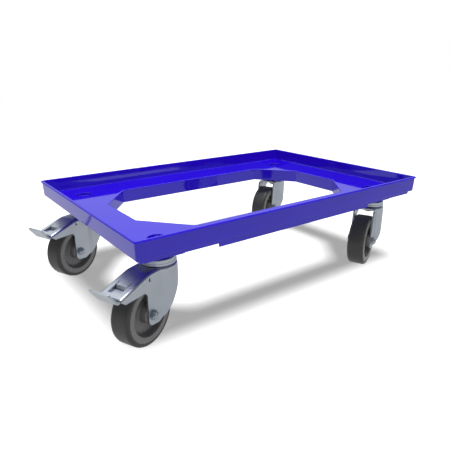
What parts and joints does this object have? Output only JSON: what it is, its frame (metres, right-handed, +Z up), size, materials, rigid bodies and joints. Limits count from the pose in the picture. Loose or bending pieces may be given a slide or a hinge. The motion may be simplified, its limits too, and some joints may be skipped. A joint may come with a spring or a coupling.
{
  "type": "crate dolly",
  "caption": "Low open-deck dolly for stacking crates: a moulded tray with a rim and a large central opening, on swivel castors, those at the left end with foot brakes.",
  "frame": {"origin": "on the floor, under the middle of the whole dolly's footprint with its castors as pictured", "axes": "+Z up; +X along the tray's long side, away from the braked end; +Y across it"},
  "size_m": [0.6742, 0.4226, 0.175],
  "materials": {
    "blue_abs": "glossy moulding",
    "zinc_steel": "bright zinc plating",
    "bearing_steel": "polished",
    "spring_steel": "plain",
    "grey_hub": "satin moulding",
    "grey_rubber": "matt rubber",
    "nylon_bearing": "satin"
  },
  "bodies": {
    "frame": {"tray": "blue_abs", "fixing_bolts": "zinc_steel", "fixing_washers": "zinc_steel", "fixing_nuts": "zinc_steel", "swivel_bowl_left_front": "zinc_steel", "swivel_balls_left_front": "bearing_steel", "king_pin_left_front": "zinc_steel", "lower_race_left_front": "zinc_steel", "swivel_bowl_left_rear": "zinc_steel", "swivel_balls_left_rear": "bearing_steel", "king_pin_left_rear": "zinc_steel", "lower_race_left_rear": "zinc_steel", "swivel_bowl_right_front": "zinc_steel", "swivel_balls_right_front": "bearing_steel", "king_pin_right_front": "zinc_steel", "lower_race_right_front": "zinc_steel", "swivel_bowl_right_rear": "zinc_steel", "swivel_balls_right_rear": "bearing_steel", "king_pin_right_rear": "zinc_steel", "lower_race_right_rear": "zinc_steel"},
    "castor_left_front": {"fork_left_front": "zinc_steel", "axle_bolt_left_front": "zinc_steel", "axle_nut_left_front": "zinc_steel", "axle_sleeve_left_front": "zinc_steel", "brake_pivot_pin_left_front": "zinc_steel"},
    "wheel_left_front": {"hub_left_front": "grey_hub", "tyre_left_front": "grey_rubber", "wheel_bearing_left_front": "nylon_bearing"},
    "pedal_left_front": {"brake_lever_left_front": "zinc_steel", "brake_shoe_left_front": "zinc_steel", "brake_spring_left_front": "spring_steel"},
    "castor_left_rear": {"fork_left_rear": "zinc_steel", "axle_bolt_left_rear": "zinc_steel", "axle_nut_left_rear": "zinc_steel", "axle_sleeve_left_rear": "zinc_steel", "brake_pivot_pin_left_rear": "zinc_steel"},
    "wheel_left_rear": {"hub_left_rear": "grey_hub", "tyre_left_rear": "grey_rubber", "wheel_bearing_left_rear": "nylon_bearing"},
    "pedal_left_rear": {"brake_lever_left_rear": "zinc_steel", "brake_shoe_left_rear": "zinc_steel", "brake_spring_left_rear": "spring_steel"},
    "castor_right_front": {"fork_right_front": "zinc_steel", "axle_bolt_right_front": "zinc_steel", "axle_nut_right_front": "zinc_steel", "axle_sleeve_right_front": "zinc_steel"},
    "wheel_right_front": {"hub_right_front": "grey_hub", "tyre_right_front": "grey_rubber", "wheel_bearing_right_front": "nylon_bearing"},
    "castor_right_rear": {"fork_right_rear": "zinc_steel", "axle_bolt_right_rear": "zinc_steel", "axle_nut_right_rear": "zinc_steel", "axle_sleeve_right_rear": "zinc_steel"},
    "wheel_right_rear": {"hub_right_rear": "grey_hub", "tyre_right_rear": "grey_rubber", "wheel_bearing_right_rear": "nylon_bearing"}
  },
  "joints": [
    {"name": "swivel_left_front", "type": "hinge", "parent": "frame", "child": "castor_left_front", "pos_m": [-0.21988, -0.14715, 0.125], "axis": [0, 0, 1], "continuous": true},
    {"name": "roll_left_front", "type": "hinge", "parent": "castor_left_front", "child": "wheel_left_front", "pos_m": [-0.25772, -0.16368, 0.05], "axis": [0.4003, -0.9164, 0], "continuous": true},
    {"name": "brake_left_front", "type": "hinge", "parent": "castor_left_front", "child": "pedal_left_front", "pos_m": [-0.26093, -0.16509, 0.106], "axis": [0.4003, -0.9164, 0], "range_deg": [0, 7]},
    {"name": "swivel_left_rear", "type": "hinge", "parent": "frame", "child": "castor_left_rear", "pos_m": [-0.21988, 0.14985, 0.125], "axis": [0, 0, 1], "continuous": true},
    {"name": "roll_left_rear", "type": "hinge", "parent": "castor_left_rear", "child": "wheel_left_rear", "pos_m": [-0.25772, 0.13331, 0.05], "axis": [0.4003, -0.9164, 0], "continuous": true},
    {"name": "brake_left_rear", "type": "hinge", "parent": "castor_left_rear", "child": "pedal_left_rear", "pos_m": [-0.26093, 0.13191, 0.106], "axis": [0.4003, -0.9164, 0], "range_deg": [0, 7]},
    {"name": "swivel_right_front", "type": "hinge", "parent": "frame", "child": "castor_right_front", "pos_m": [0.27412, -0.14715, 0.125], "axis": [0, 0, 1], "continuous": true},
    {"name": "roll_right_front", "type": "hinge", "parent": "castor_right_front", "child": "wheel_right_front", "pos_m": [0.23628, -0.16368, 0.05], "axis": [0.4003, -0.9164, 0], "continuous": true},
    {"name": "swivel_right_rear", "type": "hinge", "parent": "frame", "child": "castor_right_rear", "pos_m": [0.27412, 0.14985, 0.125], "axis": [0, 0, 1], "continuous": true},
    {"name": "roll_right_rear", "type": "hinge", "parent": "castor_right_rear", "child": "wheel_right_rear", "pos_m": [0.23628, 0.13331, 0.05], "axis": [0.4003, -0.9164, 0], "continuous": true}
  ]
}
